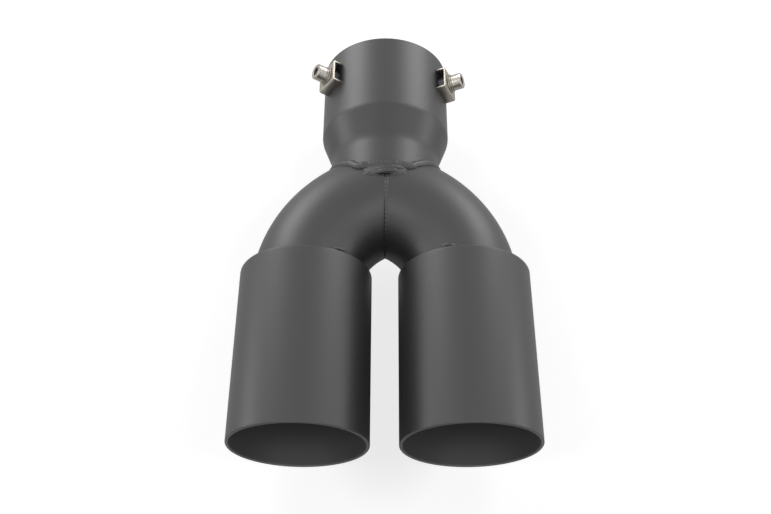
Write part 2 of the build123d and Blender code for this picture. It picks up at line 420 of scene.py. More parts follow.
def between(tree, factor, low, high):
    """Value between two values by a factor."""
    return add_node(
        tree, "ShaderNodeMapRange", {"Value": factor, "To Min": low, "To Max": high}
    ).outputs[0]


def add_relief(tree, shader, strength, distance, height):
    """Bump of a height in a shader's normal."""
    relief = add_node(
        tree, "ShaderNodeBump", {"Strength": strength, "Distance": distance, "Height": height}
    )
    tree.links.new(relief.outputs[0], shader.inputs["Normal"])


def mottled(tree, tone, base):
    """Colour that varies around a base colour."""
    mottle = finish().coat_mottle
    dark = [part * (1 - mottle) for part in base]
    light = [part * (1 + mottle) for part in base]
    return tinted(tree, tone, dark, light)


def inside_outlet(tree):
    """1 on the outlets' inner walls and 0 on the rest, where the painted light of the inside colour goes.
    """
    x, _, z = add_node(tree, "ShaderNodeSeparateXYZ", {0: object_place(tree)}).outputs
    across = add_math(tree, "SUBTRACT", add_math(tree, "ABSOLUTE", x), HALF_SPACING)
    square = add_math(tree, "MULTIPLY_ADD", across, across, add_math(tree, "MULTIPLY", z, z))
    return add_math(tree, "LESS_THAN", square, (OUTLET_RADIUS - tubes().outlet_wall / 2) ** 2)


def coat_material(name, base, bump, inside=None):
    """Matte powder coat, with a lighter colour inside the outlets where one is given: painted light on
    their inner walls.
    """
    material, tree, shader = new_material(name)
    if tree is None:
        return material
    grain = add_node(tree, "ShaderNodeGroup", node_tree=grain_group())
    tone = mottled(tree, grain.outputs["Tone"], base)
    # Painted light: the outlets' inner walls take the lighter inside colour
    if inside is not None:
        inside_painted_light = mottled(tree, grain.outputs["Tone"], inside)
        tone = tinted(tree, inside_outlet(tree), tone, inside_painted_light)
    tree.links.new(tone, shader.inputs["Base Color"])
    spread = 0.06
    rough = finish().coat_roughness
    rough = between(tree, grain.outputs["Speckle"], rough - spread, rough + spread)
    tree.links.new(rough, shader.inputs["Roughness"])
    shader.inputs["Specular IOR Level"].default_value = finish().coat_specular
    pimple = 0.00012
    add_relief(tree, shader, bump, pimple, grain.outputs["Height"])
    return material


def plated_material(name, side, base, stretch, cover, roughness):
    """Bright plated steel of a clamp piece, with streaks along its rolling direction."""
    material, tree, shader = new_material(side + name)
    if tree is None:
        return material
    streaks = add_node(
        tree, "ShaderNodeGroup",
        {"Turn": (0, -CLAMP_TURN[side], 0), "Stretch": stretch, "Patch Cover": cover},
        node_tree=streak_group(),
    )
    dull_share, bright_share = 0.4, 1.25
    dull = [part * dull_share for part in base]
    bright = [min(1, part * bright_share) for part in base]
    clean = tinted(tree, streaks.outputs["Streak"], dull, bright)
    worn = tinted(tree, streaks.outputs["Tarnish"], clean, finish().tarnish)
    tree.links.new(worn, shader.inputs["Base Color"])
    smoother, rougher = 0.1, 0.16
    rough = between(tree, streaks.outputs["Streak"], roughness - smoother, roughness + rougher)
    tree.links.new(rough, shader.inputs["Roughness"])
    shader.inputs["Metallic"].default_value = 1.0
    streak_strength, streak_height = 0.35, 0.00006
    add_relief(tree, shader, streak_strength, streak_height, streaks.outputs["Height"])
    return material


def black_coat():
    """Powder coat of the tubes, the collar and the weld beads."""
    return coat_material("powder_coat", finish().coat, bump=0.35)


def outlet_coat():
    """Powder coat of the outlets, with a lighter colour on their inner walls as painted light."""
    return coat_material("outlet_coat", finish().coat, bump=0.35, inside=finish().inside)


def nut_coat():
    """Bluish coat of the welded nuts, made lighter than the tubes' coat as painted light against the shade
    inside their brackets.
    """
    return coat_material("nut_coat", finish().nut, bump=0.6)


def strip_steel(side):
    """Plated strip of a bracket, rolled along the collar."""
    return plated_material(
        "_strip_steel", side, finish().strip, stretch=(2600, 160, 900), cover=0.30, roughness=0.34
    )


def washer_steel(side):
    """Plated steel of a clamp's washers."""
    return plated_material(
        "_washer_steel", side, finish().washer, stretch=(900, 900, 900), cover=0.22, roughness=0.34
    )


def screw_steel(side):
    """Plated steel of a clamp's screw."""
    return plated_material(
        "_screw_steel", side, finish().screw, stretch=(700, 700, 1500), cover=0.22, roughness=0.26
    )


# Outlines and surfaces


def rounded(corners, steps=6):
    """Outline through corners (x, y, radius), each rounded with its radius."""
    outline = []
    for i, (x, y, radius) in enumerate(corners):
        here = Vector((x, y))
        if radius == 0:
            outline.append(here)
            continue
        back = (Vector(corners[i - 1][:2]) - here).normalized()
        ahead = (Vector(corners[(i + 1) % len(corners)][:2]) - here).normalized()
        half = back.angle(ahead) / 2
        middle = here + (back + ahead).normalized() * radius / sin(half)
        spoke = here + back * (radius / tan(half)) - middle
        sweep = (pi - 2 * half) * (1 if back.x * ahead.y - back.y * ahead.x < 0 else -1)
        for k in range(steps + 1):
            outline.append(middle + Matrix.Rotation(sweep * k / steps, 2) @ spoke)
    return outline


def supported(outline, gap):
    """Closed outline with a point near each end of its long runs, which keeps their shading flat."""
    points = []
    for here, following in zip(outline, outline[1:] + outline[:1]):
        run = following - here
        points.append(here)
        if run.length > 3 * gap:
            points.append(here + run.normalized() * gap)
            points.append(following - run.normalized() * gap)
    return points


def woven(rows, closed_rows=True, caps=()):
    """Mesh of quads between rows of points, each row a loop. The rows form a ring, or end in caps."""
    mesh = bmesh.new()
    grid = [[mesh.verts.new(point) for point in row] for row in rows]
    count = len(rows[0])
    following_rows = grid[1:] + grid[:1] if closed_rows else grid[1:]
    for row, following in zip(grid, following_rows):
        for i in range(count):
            j = (i + 1) % count
            mesh.faces.new((row[i], row[j], following[j], following[i]))
    for row, pole in zip((grid[0], grid[-1]), caps):
        centre = mesh.verts.new(pole)
        for i in range(count):
            mesh.faces.new((row[i], row[(i + 1) % count], centre))
    return mesh


def turned(outline, steps, place):
    """Mesh of a closed outline carried around, with place(radius, height, turn) giving each point."""
    rows = []
    for i in range(steps):
        turn = FULL_TURN * i / steps
        rows.append([place(point.x, point.y, turn) for point in outline])
    return woven(rows)


def new_object(name, mesh):
    """Object at the origin around a bmesh, which is freed, with its faces turned outwards."""
    bmesh.ops.recalc_face_normals(mesh, faces=mesh.faces)
    data = bpy.data.meshes.new(name)
    mesh.to_mesh(data)
    mesh.free()
    made = bpy.data.objects.new(name, data)
    bpy.context.scene.collection.objects.link(made)
    return made


def evaluated(source, name):
    """Plain object with the source's evaluated mesh. The source and its modifiers are removed."""
    bpy.context.view_layer.update()
    depsgraph = bpy.context.evaluated_depsgraph_get()
    data = bpy.data.meshes.new_from_object(source.evaluated_get(depsgraph), depsgraph=depsgraph)
    bpy.data.objects.remove(source)
    data.name = name
    made = bpy.data.objects.new(name, data)
    bpy.context.scene.collection.objects.link(made)
    return made


def cut(piece, cutters):
    """Piece with solid cutters taken away, which are removed."""
    name = piece.name
    for cutter in cutters:
        hole = piece.modifiers.new("hole", "BOOLEAN")
        hole.operation = "DIFFERENCE"
        hole.solver = "EXACT"
        hole.object = cutter
    made = evaluated(piece, name)
    for cutter in cutters:
        bpy.data.objects.remove(cutter)
    made.name = name
    return made


def finished(piece, node, material, body="tip", smooth_angle=35):
    """Piece with its name, shading, material and body, standing for its node."""
    piece.name = node + "_dressed"
    if not piece.data.materials:
        piece.data.materials.append(material)
    piece.data.shade_smooth()
    piece.data.set_sharp_from_angle(angle=radians(smooth_angle))
    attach(piece, body)
    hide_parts(node)
    return piece


def rod(name, radius, start, end, steps=48):
    """Solid rod between two points."""
    axis = (end - start).normalized()
    across = axis.orthogonal().normalized()
    rows = []
    for point in (start, end):
        row = []
        for i in range(steps):
            spoke = Matrix.Rotation(FULL_TURN * i / steps, 3, axis) @ across
            row.append(point + spoke * radius)
        rows.append(row)
    return new_object(name, woven(rows, closed_rows=False, caps=(start, end)))


# Collar, bends and outlets


def neck_radius():
    """Outer radius of the neck."""
    return TUBE_RADIUS + tubes().neck_slip + COLLAR_WALL


def bend_start_y():
    """Where the bends begin, above their straight ends."""
    return TUBE_END_Y + tubes().bend_tail


def arc_offset():
    """How far the bends' pivots lie beyond the middle."""
    return tubes().bend_radius - HALF_SPACING


def neck_seam(turn, lift):
    """Point where the neck meets the bends, at a turn about the neck from +Z, lifted off both."""
    radius = neck_radius() + lift
    x = radius * sin(turn)
    z = radius * cos(turn)
    half_width = sqrt(max((TUBE_RADIUS + lift) ** 2 - z**2, 0))
    reach = tubes().bend_radius + half_width
    y = bend_start_y() + sqrt(reach**2 - (abs(x) + arc_offset()) ** 2)
    return Vector((x, max(y, NECK_FOOT_Y), z))


def mitre_seam(turn, lift):
    """Point where the two bends meet, at a turn about the tube from +Z towards the mouths."""
    radius = TUBE_RADIUS + lift
    reach = tubes().bend_radius - radius * sin(turn)
    return Vector((0, bend_start_y() + sqrt(reach**2 - arc_offset() ** 2), radius * cos(turn)))


def bend_middle(y):
    """X of the bend's centreline where it passes y."""
    return sqrt(tubes().bend_radius ** 2 - (y - bend_start_y()) ** 2) - arc_offset()


def shoulder_y():
    """Top of the outlets' shoulder."""
    return bend_start_y() + tubes().bend_insertion + tubes().shoulder_rise


def shoulder_crossing():
    """Middle and half the width, along X, of the bend where it passes the shoulder."""
    height = shoulder_y() - bend_start_y()
    reach = tubes().bend_radius
    near, far = (
        sqrt((reach + side) ** 2 - height**2) - arc_offset() for side in (-TUBE_RADIUS, TUBE_RADIUS)
    )
    return (far + near) / 2, (far - near) / 2


def collar_mesh():
    """Straight socket, conical reduction and neck, whose foot follows the bends."""
    sizes = tubes()
    rim = sizes.rim_rounding
    crease = -sizes.collar_length
    neck_top = crease - sizes.reduction_length
    outer = (COLLAR_RADIUS, neck_radius())
    inner = (BORE_RADIUS, neck_radius() - COLLAR_WALL)
    fold = sizes.shoulder_rounding
    flow = sizes.neck_rounding
    inside_rise = COLLAR_WALL * tan(atan2(outer[0] - outer[1], sizes.reduction_length) / 2)
    neck_rows = 7
    neck = [neck_top + (NECK_FOOT_Y - neck_top) * k / neck_rows for k in range(1, neck_rows + 1)]
    outline = rounded(
        [
            (inner[0], 0, rim),
            (outer[0], 0, rim),
            (outer[0], crease, fold),
            (outer[1], neck_top, flow),
            *[(outer[1], y, 0) for y in neck],
            *[(inner[1], y, 0) for y in reversed(neck)],
            (inner[1], neck_top + inside_rise, flow + COLLAR_WALL),
            (inner[0], crease + inside_rise, fold - COLLAR_WALL),
        ],
        steps=8,
    )
    warp_start = neck[0]

    def place(radius, y, turn):
        if y < warp_start:
            foot = neck_seam(turn, 0).y
            y = warp_start + (y - warp_start) * (warp_start - foot) / (warp_start - NECK_FOOT_Y)
        return Vector((radius * sin(turn), y, radius * cos(turn)))

    return turned(supported(outline, TUBE_SUPPORT), TUBE_STEPS, place)


def bend_point(reach, turn, height):
    """Point of a bend at a distance from its pivot, a turn about the pivot and a height."""
    return Vector((reach * cos(turn) - arc_offset(), bend_start_y() + reach * sin(turn), height))


def bend_mesh(side):
    """Bent tube from its straight end to the mitre, where its outer edge is rounded into a groove."""
    sizes = tubes()
    arc_rows = 40
    groove_rows = 3
    around = 128
    rows = []
    for i in range(around):
        turn = FULL_TURN * i / around
        row = []
        for radius, outer in ((TUBE_RADIUS, True), (TUBE_RADIUS - sizes.bend_wall, False)):
            reach = sizes.bend_radius + radius * cos(turn)
            mitre_turn = acos(arc_offset() / reach)
            groove_turn = sizes.groove_width / reach if outer else 0
            stations = [Vector((HALF_SPACING + radius * cos(turn), TUBE_END_Y, radius * sin(turn)))]
            for k in range(arc_rows + 1):
                at = (mitre_turn - groove_turn) * k / arc_rows
                stations.append(bend_point(reach, at, radius * sin(turn)))
            if outer:
                for k in range(1, groove_rows + 1):
                    lean = pi / 2 * k / groove_rows
                    at = mitre_turn - groove_turn * (1 - sin(lean))
                    sunk = radius - sizes.groove_width * (1 - cos(lean))
                    point = bend_point(sizes.bend_radius + sunk * cos(turn), at, sunk * sin(turn))
                    point.x = max(point.x, 0)
                    stations.append(point)
                row += stations
            else:
                row += stations[::-1]
        rows.append([Vector((SIDES[side] * point.x, point.y, point.z)) for point in row])
    return woven(rows)


def outlet_mesh(side):
    """Outlet tube with its rounded mouth and its spun shoulder, whose hole fits the bend."""
    sizes = tubes()
    rear = bend_start_y() + sizes.bend_insertion
    wall = sizes.outlet_wall
    hole = TUBE_RADIUS + sizes.neck_slip / 2
    slope = sizes.shoulder_rise / (OUTLET_RADIUS - TUBE_RADIUS)
    hole_y = rear + slope * (OUTLET_RADIUS - hole)
    outline = rounded(
        [
            (OUTLET_RADIUS - wall, MOUTH_Y, sizes.mouth_rounding),
            (OUTLET_RADIUS, MOUTH_Y, sizes.mouth_rounding),
            (OUTLET_RADIUS, rear, sizes.shoulder_corner),
            (hole, hole_y, 0),
            (hole, hole_y - wall, 0),
            (OUTLET_RADIUS - wall, rear - wall, sizes.shoulder_corner - wall),
        ],
        steps=8,
    )
    start = OUTLET_RADIUS - 2 * sizes.shoulder_corner
    drift = bend_middle(hole_y) - HALF_SPACING

    def place(radius, y, turn):
        if radius < start and y > rear - 3 * wall:
            edge = drift * cos(turn) + sqrt(hole**2 - (drift * sin(turn)) ** 2)
            radius = start - (start - radius) * (start - edge) / (start - hole)
        return Vector((SIDES[side] * (HALF_SPACING + radius * cos(turn)), y, radius * sin(turn)))

    return turned(supported(outline, TUBE_SUPPORT), TUBE_STEPS, place)


# Weld beads


def bead_tree():
    """Geometry Nodes tree that lays a rippled and lumpy bead along a path."""
    name = "Weld bead"
    if name in bpy.data.node_groups:
        return bpy.data.node_groups[name]
    number = "NodeSocketFloat"
    tree, given, out = new_group(
        name,
        "GeometryNodeTree",
        {
            "Path": ("NodeSocketGeometry", None),
            "Radius": (number, 0.0015),
            "Ripple Pitch": (number, 0.0024),
            "Ripple Height": (number, 0.0001),
            "Lump Size": (number, 0.0035),
            "Lump Height": (number, 0.0005),
            "Wander": (number, 0.0003),
            "Seed": (number, 0.0),
            "Material": ("NodeSocketMaterial", None),
        },
        {"Geometry": "NodeSocketGeometry"},
    )
    get = given.outputs
    spacing = 0.00045
    around = 20
    curve = add_node(tree, "GeometryNodeMeshToCurve", {"Mesh": get["Path"]})
    fine = add_node(
        tree, "GeometryNodeResampleCurve", {"Curve": curve.outputs[0], "Length": spacing}, mode="LENGTH"
    )
    place = add_node(tree, "GeometryNodeInputPosition").outputs[0]
    lump_scale = add_math(tree, "DIVIDE", 1.0, get["Lump Size"])
    drift_scale = add_math(tree, "MULTIPLY", lump_scale, 0.5)
    drift = add_noise(tree, place, drift_scale, detail=1.0, seed=get["Seed"])["Color"]
    centred = add_vector_math(tree, "SUBTRACT", drift, (0.5, 0.5, 0.5))
    # The noise seldom strays by more than a quarter, which is four times less than the wander
    shift = add_vector_math(tree, "SCALE", centred, add_math(tree, "MULTIPLY", get["Wander"], 4.0))
    wandering = add_node(
        tree, "GeometryNodeSetPosition", {"Geometry": fine.outputs[0], "Offset": shift}
    )
    along = add_node(tree, "GeometryNodeSplineParameter").outputs["Length"]
    phase = add_math(tree, "DIVIDE", along, get["Ripple Pitch"])
    wave = add_math(tree, "ABSOLUTE", add_math(tree, "SINE", add_math(tree, "MULTIPLY", phase, pi)))
    kept = add_node(tree, "GeometryNodeCaptureAttribute")
    kept.capture_items.new("FLOAT", "Wave")
    tree.links.new(wandering.outputs[0], kept.inputs[0])
    tree.links.new(wave, kept.inputs[1])
    section = add_node(
        tree, "GeometryNodeCurvePrimitiveCircle", {"Resolution": around, "Radius": get["Radius"]}
    )
    swept = add_node(
        tree, "GeometryNodeCurveToMesh",
        {"Curve": kept.outputs[0], "Profile Curve": section.outputs[0], "Fill Caps": True},
    )
    lump = add_noise(tree, place, lump_scale, detail=2.0, seed=get["Seed"])["Fac"]
    high = add_math(tree, "MULTIPLY", add_math(tree, "SUBTRACT", lump, 0.5), get["Lump Height"])
    ripple = add_math(tree, "MULTIPLY", kept.outputs[1], get["Ripple Height"])
    outward = add_node(tree, "GeometryNodeInputNormal").outputs[0]
    swell = add_vector_math(tree, "SCALE", outward, add_math(tree, "ADD", high, ripple))
    bumpy = add_node(
        tree, "GeometryNodeSetPosition", {"Geometry": swept.outputs[0], "Offset": swell}
    )
    whole = add_node(tree, "GeometryNodeRealizeInstances", {0: bumpy.outputs[0]})
    coated = add_node(
        tree, "GeometryNodeSetMaterial", {"Geometry": whole.outputs[0], "Material": get["Material"]}
    )
    tree.links.new(coated.outputs[0], out.inputs[0])
    return tree


def run_tree(piece, tree, values):
    """Object that a Geometry Nodes tree makes from a piece, with inputs set by their identifiers."""
    name = piece.name
    modifier = piece.modifiers.new("tree", "NODES")
    modifier.node_group = tree
    for socket in tree.interface.items_tree:
        if socket.in_out == "INPUT" and socket.name in values:
            modifier[socket.identifier] = values[socket.name]
    made = evaluated(piece, name)
    made.name = name
    return made


def path_object(name, points, closed):
    """Object whose edges follow points."""
    data = bpy.data.meshes.new(name)
    edges = [(i, i + 1) for i in range(len(points) - 1)]
    if closed:
        edges.append((len(points) - 1, 0))
    data.from_pydata(points, edges, [])
    made = bpy.data.objects.new(name, data)
    bpy.context.scene.collection.objects.link(made)
    return made


def bead(name, points, closed, radius, seed, lump=1.0, wander=0.0003, ripple=1.0):
    """Weld bead along points."""
    sizes = welds()
    return run_tree(
        path_object(name, points, closed),
        bead_tree(),
        {
            "Radius": radius,
            "Ripple Pitch": sizes.ripple_pitch,
            "Ripple Height": sizes.ripple_height * ripple,
            "Lump Size": sizes.lump_size,
            "Lump Height": sizes.lump_height * lump,
            "Wander": wander,
            "Seed": float(sizes.seed + seed),
            "Material": black_coat(),
        },
    )


# First and last x, place above the neck's foot, slant and radius of each short pass
VALLEY_PASSES = (
    (-0.0060, 0.0125, 0.0040, 0.0014, 0.0015),
    (-0.0048, 0.0085, 0.0018, 0.0008, 0.0013),
)
FOOT_PASSES = (
    (-0.0125, -0.0040, 0.0004, -0.0003, 0.0014),
    (0.0025, 0.0125, 0.0004, 0.0003, 0.0014),
)
# First and last turn about the bend, from +Z towards +X, of the short pass on each outlet's bead
TACK_TURNS = {"left": (radians(24), radians(46)), "right": (radians(-26), radians(-8))}


def neck_surface(x, _):
    """Height of the neck's surface, which is the same at each y."""
    return sqrt(neck_radius() ** 2 - x**2)


def bend_surface(x, y):
    """Height of the bends' surface."""
    aside = sqrt((abs(x) + arc_offset()) ** 2 + (y - bend_start_y()) ** 2) - tubes().bend_radius
    return sqrt(TUBE_RADIUS**2 - aside**2)


def short_passes(shapes, surface, depth, seed):
    """Short beads that lie on a surface, sunk by a share of their radius and deeper at their ends."""
    steps = 24
    made = []
    for i, (first, last, rise, slant, radius) in enumerate(shapes):
        points = []
        for k in range(steps + 1):
            part = k / steps
            x = first + (last - first) * part
            y = NECK_FOOT_Y + rise + slant * (part - 0.5)
            sunk = radius * (depth + abs(2 * part - 1) ** 3)
            points.append(Vector((x, y, surface(x, y) - sunk)))
        made.append(
            bead("short_pass", points, False, radius, seed + i, lump=1.2, wander=0.0004, ripple=0.6)
        )
    return made


def neck_path(turns):
    """Path around the neck, kept above the valley between the bends and sunk where it crosses it."""
    sizes = welds()
    path = [neck_seam(turn, sizes.neck_lift) for turn in turns]
    valley = NECK_FOOT_Y + sizes.valley_rise
    for point in path:
        sunk = min(max((valley - point.y) / sizes.valley_rise, 0), 1)
        point.y = max(point.y, valley)
        point.z *= 1 - sunk * sizes.valley_depth / neck_radius()
    return path


def mitre_path(steps):
    """Path along the mitre from the top around the mouths' side to the bottom, beside the groove."""
    start = radians(3)
    turns = [start + (pi - 2 * start) * i / steps for i in range(steps + 1)]
    path = [mitre_seam(turn, welds().mitre_lift) for turn in turns]
    for point in path:
        point.x += welds().mitre_shift
    return path


def outlet_path(side, turns):
    """Path around the bend on an outlet's shoulder, at turns from +Z towards +X."""
    middle, half = shoulder_crossing()
    radius = half + welds().outlet_lift
    x = SIDES[side] * middle
    return [Vector((x + radius * sin(turn), shoulder_y(), radius * cos(turn))) for turn in turns]


def tack_path(side):
    """Path of the short pass, which rises over an outlet's bead and comes down again."""
    middle, half = shoulder_crossing()
    radius = half + welds().outlet_lift
    first, last = TACK_TURNS[side]
    steps = 16
    path = []
    for k in range(steps + 1):
        turn = first + (last - first) * k / steps
        rise = welds().tack_rise * sin(pi * k / steps)
        reach = radius + rise
        x = SIDES[side] * middle + reach * sin(turn)
        path.append(Vector((x, shoulder_y() + rise, reach * cos(turn))))
    return path


def joined(name, pieces):
    """One object of several."""
    mesh = bmesh.new()
    material = pieces[0].data.materials[0]
    for piece in pieces:
        mesh.from_mesh(piece.data)
        bpy.data.objects.remove(piece)
    made = new_object(name, mesh)
    made.data.materials.append(material)
    return made


# Clamp pieces, made on top of the collar and turned to their seats


def seat_tree():
    """Geometry Nodes tree that carries a clamp piece from the collar's top to its seat."""
    name = "Clamp seat"
    if name in bpy.data.node_groups:
        return bpy.data.node_groups[name]
    tree, given, out = new_group(
        name,
        "GeometryNodeTree",
        {
            "Piece": ("NodeSocketGeometry", None),
            "Turn": ("NodeSocketVector", None),
            "Material": ("NodeSocketMaterial", None),
        },
        {"Geometry": "NodeSocketGeometry"},
    )
    seat = add_node(tree, "GeometryNodePoints", {"Count": 1})
    placed = add_node(
        tree, "GeometryNodeInstanceOnPoints",
        {"Points": seat.outputs[0], "Instance": given.outputs["Piece"], "Rotation": given.outputs["Turn"]},
    )
    whole = add_node(tree, "GeometryNodeRealizeInstances", {0: placed.outputs[0]})
    plated = add_node(
        tree, "GeometryNodeSetMaterial",
        {"Geometry": whole.outputs[0], "Material": given.outputs["Material"]},
    )
    tree.links.new(plated.outputs[0], out.inputs[0])
    return tree


def seated(piece, side, material):
    """Clamp piece turned to its side's seat."""
    return run_tree(piece, seat_tree(), {"Turn": (0, CLAMP_TURN[side], 0), "Material": material})


def web_top():
    """Distance from the collar's axis to the top of a bracket's web."""
    return COLLAR_RADIUS + clamps().bracket_height


def seat_height(x):
    """Height over the collar's axis, beside the clamp's middle, of what stands on the collar."""
    return sqrt((COLLAR_RADIUS + clamps().coat_gap) ** 2 - x**2)


def bracket_piece(name):
    """U-shaped bracket with folded corners, feet that follow the collar and a hole in its web."""
    sizes = clamps()
    half = sizes.bracket_length / 2
    plate = sizes.bracket_plate
    top = web_top()
    corner_steps = 8
    stations = 13
    mesh = bmesh.new()
    sections = []
    for i in range(stations):
        x = sizes.bracket_width * (i / (stations - 1) - 0.5)
        foot = seat_height(x)
        section = []
        for inset, radius in ((0, sizes.bracket_corner), (plate, sizes.bracket_corner - plate)):
            arch = rounded(
                [
                    (inset - half, foot, 0),
                    (inset - half, top - inset, radius),
                    (half - inset, top - inset, radius),
                    (half - inset, foot, 0),
                ],
                corner_steps,
            )
            section.append([mesh.verts.new((x, CLAMP_Y + point.x, point.y)) for point in arch])
        sections.append(section)
    count = len(sections[0][0])
    for first, second in zip(sections, sections[1:]):
        for layer in range(2):
            for k in range(count - 1):
                left, right = first[layer], second[layer]
                mesh.faces.new((left[k], left[k + 1], right[k + 1], right[k]))
        for k in (0, count - 1):
            mesh.faces.new((first[0][k], first[1][k], second[1][k], second[0][k]))
    for end in (sections[0], sections[-1]):
        for k in range(count - 1):
            mesh.faces.new((end[0][k], end[0][k + 1], end[1][k + 1], end[1][k]))
    bmesh.ops.recalc_face_normals(mesh, faces=mesh.faces)
    crisp = [edge for edge in mesh.edges if edge.calc_face_angle(0) > radians(50)]
    bmesh.ops.bevel(
        mesh, geom=crisp, offset=sizes.edge_break, segments=2, profile=0.5,
        affect="EDGES", clamp_overlap=True,
    )
    middle = Vector((0, CLAMP_Y, 0))
    drill = rod(
        "drill", sizes.screw_radius + sizes.hole_gap,
        middle + Vector((0, 0, top - 2 * plate)), middle + Vector((0, 0, top + plate)),
    )
    return cut(new_object(name, mesh), [drill])


def clamp_turned(name, outline, steps, reach=None):
    """Clamp piece of a closed outline (radius, height) carried around the screw's axis."""

    def place(radius, height, turn):
        if reach:
            radius, height = reach(radius, height, turn)
        return Vector((radius * sin(turn), CLAMP_Y + radius * cos(turn), height))

    return new_object(name, turned(outline, steps, place))


def hexagon(flats, turn):
    """Radius of a hexagon at a turn from the middle of a flat."""
    sixth = pi / 3
    return flats / 2 / cos((turn + sixth / 2) % sixth - sixth / 2)


def nut_piece(name):
    """Hexagon nut with two flats along the bracket's legs and its foot on the collar."""
    sizes = clamps()
    top = web_top() - sizes.bracket_plate - sizes.nut_gap
    bore = sizes.screw_radius + sizes.thread_gap
    lead = 0.0005
    # Any radius past the hexagon's corners stands for its outline
    corner = sizes.nut_flats
    outline = [
        Vector((bore, 0)),
        Vector((bore, top - lead)),
        Vector((bore + lead, top)),
        Vector((corner, top)),
        Vector((corner, 0)),
    ]

    def reach(radius, height, turn):
        if radius == corner:
            radius = hexagon(sizes.nut_flats, turn)
        if height == 0:
            height = seat_height(radius * sin(turn))
        return radius, height

    return clamp_turned(name, outline, 144, reach)


def washer_outline(outer, foot, plate, edge):
    """Outline (radius, height) of a washer with rounded edges."""
    inner = clamps().screw_radius + clamps().washer_gap
    top = foot + plate
    corners = [(inner, foot, edge), (outer, foot, edge), (outer, top, edge), (inner, top, edge)]
    return supported(rounded(corners, steps=3), WASHER_SUPPORT)


def flat_washer_piece(name):
    """Flat washer with slightly rounded edges."""
    sizes = clamps()
    outline = washer_outline(sizes.flat_washer_radius, web_top(), sizes.flat_washer_plate, edge=0.00018)
    return clamp_turned(name, outline, WASHER_STEPS)


def lock_washer_piece(name):
    """Split washer whose ends stand slightly apart."""
    sizes = clamps()
    foot = web_top() + sizes.flat_washer_plate
    outer = sizes.lock_washer_radius
    slant = 0.00035
    spring = 0.00004
    outline = washer_outline(outer, foot, sizes.lock_washer_plate, edge=0.00012)
    opening = sizes.lock_washer_slit / 2 / outer
    rows = []
    for i in range(WASHER_STEPS + 1):
        part = i / WASHER_STEPS
        row = []
        for point in outline:
            lean = slant * ((point.y - foot) / sizes.lock_washer_plate - 0.5) / outer
            turn = opening + lean + (FULL_TURN - 2 * opening) * part
            height = point.y + spring * (2 * part - 1)
            row.append(Vector((point.x * sin(turn), CLAMP_Y + point.x * cos(turn), height)))
        rows.append(row)
    ends = [sum(row, Vector()) / len(row) for row in (rows[0], rows[-1])]
    return new_object(name, woven(rows, closed_rows=False, caps=ends))


def zigzag(phase):
    """Triangle wave from 0 to 1 and back, once for each unit of phase."""
    return 1 - abs(2 * (phase % 1) - 1)


def screw_piece(name):
    """Cap screw with a knurled head, a hexagon socket and a threaded shank."""
    sizes = clamps()
    foot = web_top() + sizes.flat_washer_plate + sizes.lock_washer_plate
    top = foot + sizes.head_height
    tip = BORE_RADIUS + sizes.tip_height
    head = sizes.head_radius
    chamfer = sizes.head_chamfer
    steps = 216
    shank_rows = 90
    knurl_rows = 18
    lead = 0.00025
    root = sizes.screw_radius - sizes.thread_depth * 1.3
    knurl_foot = foot + 0.0004
    knurl_top = top - chamfer - 0.0002
    knurl_rise = 0.0011
    foot_edge = ((head - 0.0004, foot), (head - 0.0001, foot + 0.0001), (head, foot + 0.0003))
    socket_floor = top - sizes.socket_depth
    socket_corner = sizes.socket_flats / sqrt(3)
    socket_cone = 0.0008

    def ring(radius_at, height):
        row = []
        for i in range(steps):
            turn = FULL_TURN * i / steps
            radius = radius_at(turn)
            row.append(Vector((radius * sin(turn), CLAMP_Y + radius * cos(turn), height)))
        return row

    rows = []
    for k in range(shank_rows + 1):
        height = tip + (foot - tip) * k / shank_rows
        blunt = root + (height - tip)

        def thread(turn, height=height, blunt=blunt):
            depth = sizes.thread_depth * zigzag(height / sizes.thread_pitch - turn / FULL_TURN)
            return min(sizes.screw_radius - depth, blunt)

        rows.append(ring(thread, height))
    for radius, height in foot_edge:
        rows.append(ring(lambda turn, radius=radius: radius, height))
    for k in range(knurl_rows + 1):
        height = knurl_foot + (knurl_top - knurl_foot) * k / knurl_rows
        fade = min(1, 4 * k / knurl_rows, 4 * (knurl_rows - k) / knurl_rows)

        def knurl(turn, height=height, fade=fade):
            around = sizes.knurl_teeth * turn / FULL_TURN
            rise = (height - foot) / knurl_rise
            dip = 1 - min(zigzag(around + rise), zigzag(around - rise))
            return head - sizes.knurl_depth * fade * dip

        rows.append(ring(knurl, height))
    rows.append(ring(lambda turn: head, top - chamfer))
    rows.append(ring(lambda turn: head - chamfer, top))
    rows.append(ring(lambda turn: socket_corner + lead, top))
    rows.append(ring(lambda turn: hexagon(sizes.socket_flats, turn), top - lead))
    rows.append(ring(lambda turn: hexagon(sizes.socket_flats, turn), socket_floor))
    poles = (Vector((0, CLAMP_Y, tip)), Vector((0, CLAMP_Y, socket_floor - socket_cone)))
    return new_object(name, woven(rows, closed_rows=False, caps=poles))


# Operators, one for each piece or group of like pieces


class TIP_OT_collar(bpy.types.Operator):
    """Make the inlet collar"""

    bl_idname = "exhaust_tip.collar"
    bl_label = "Inlet Collar"

    def execute(self, context):
        piece = new_object("inlet_collar", collar_mesh())
        hole = clamps().screw_radius + clamps().hole_gap
        middle = Vector((0, CLAMP_Y, 0))
        drill_start = BORE_RADIUS * 0.8
        drills = []
        for turn in CLAMP_TURN.values():
            outward = Vector((sin(turn), 0, cos(turn)))
            start, end = (middle + outward * reach for reach in (drill_start, web_top()))
            drills.append(rod("drill", hole, start, end))
        finished(cut(piece, drills), "inlet_collar", black_coat(), smooth_angle=50)
        return {"FINISHED"}


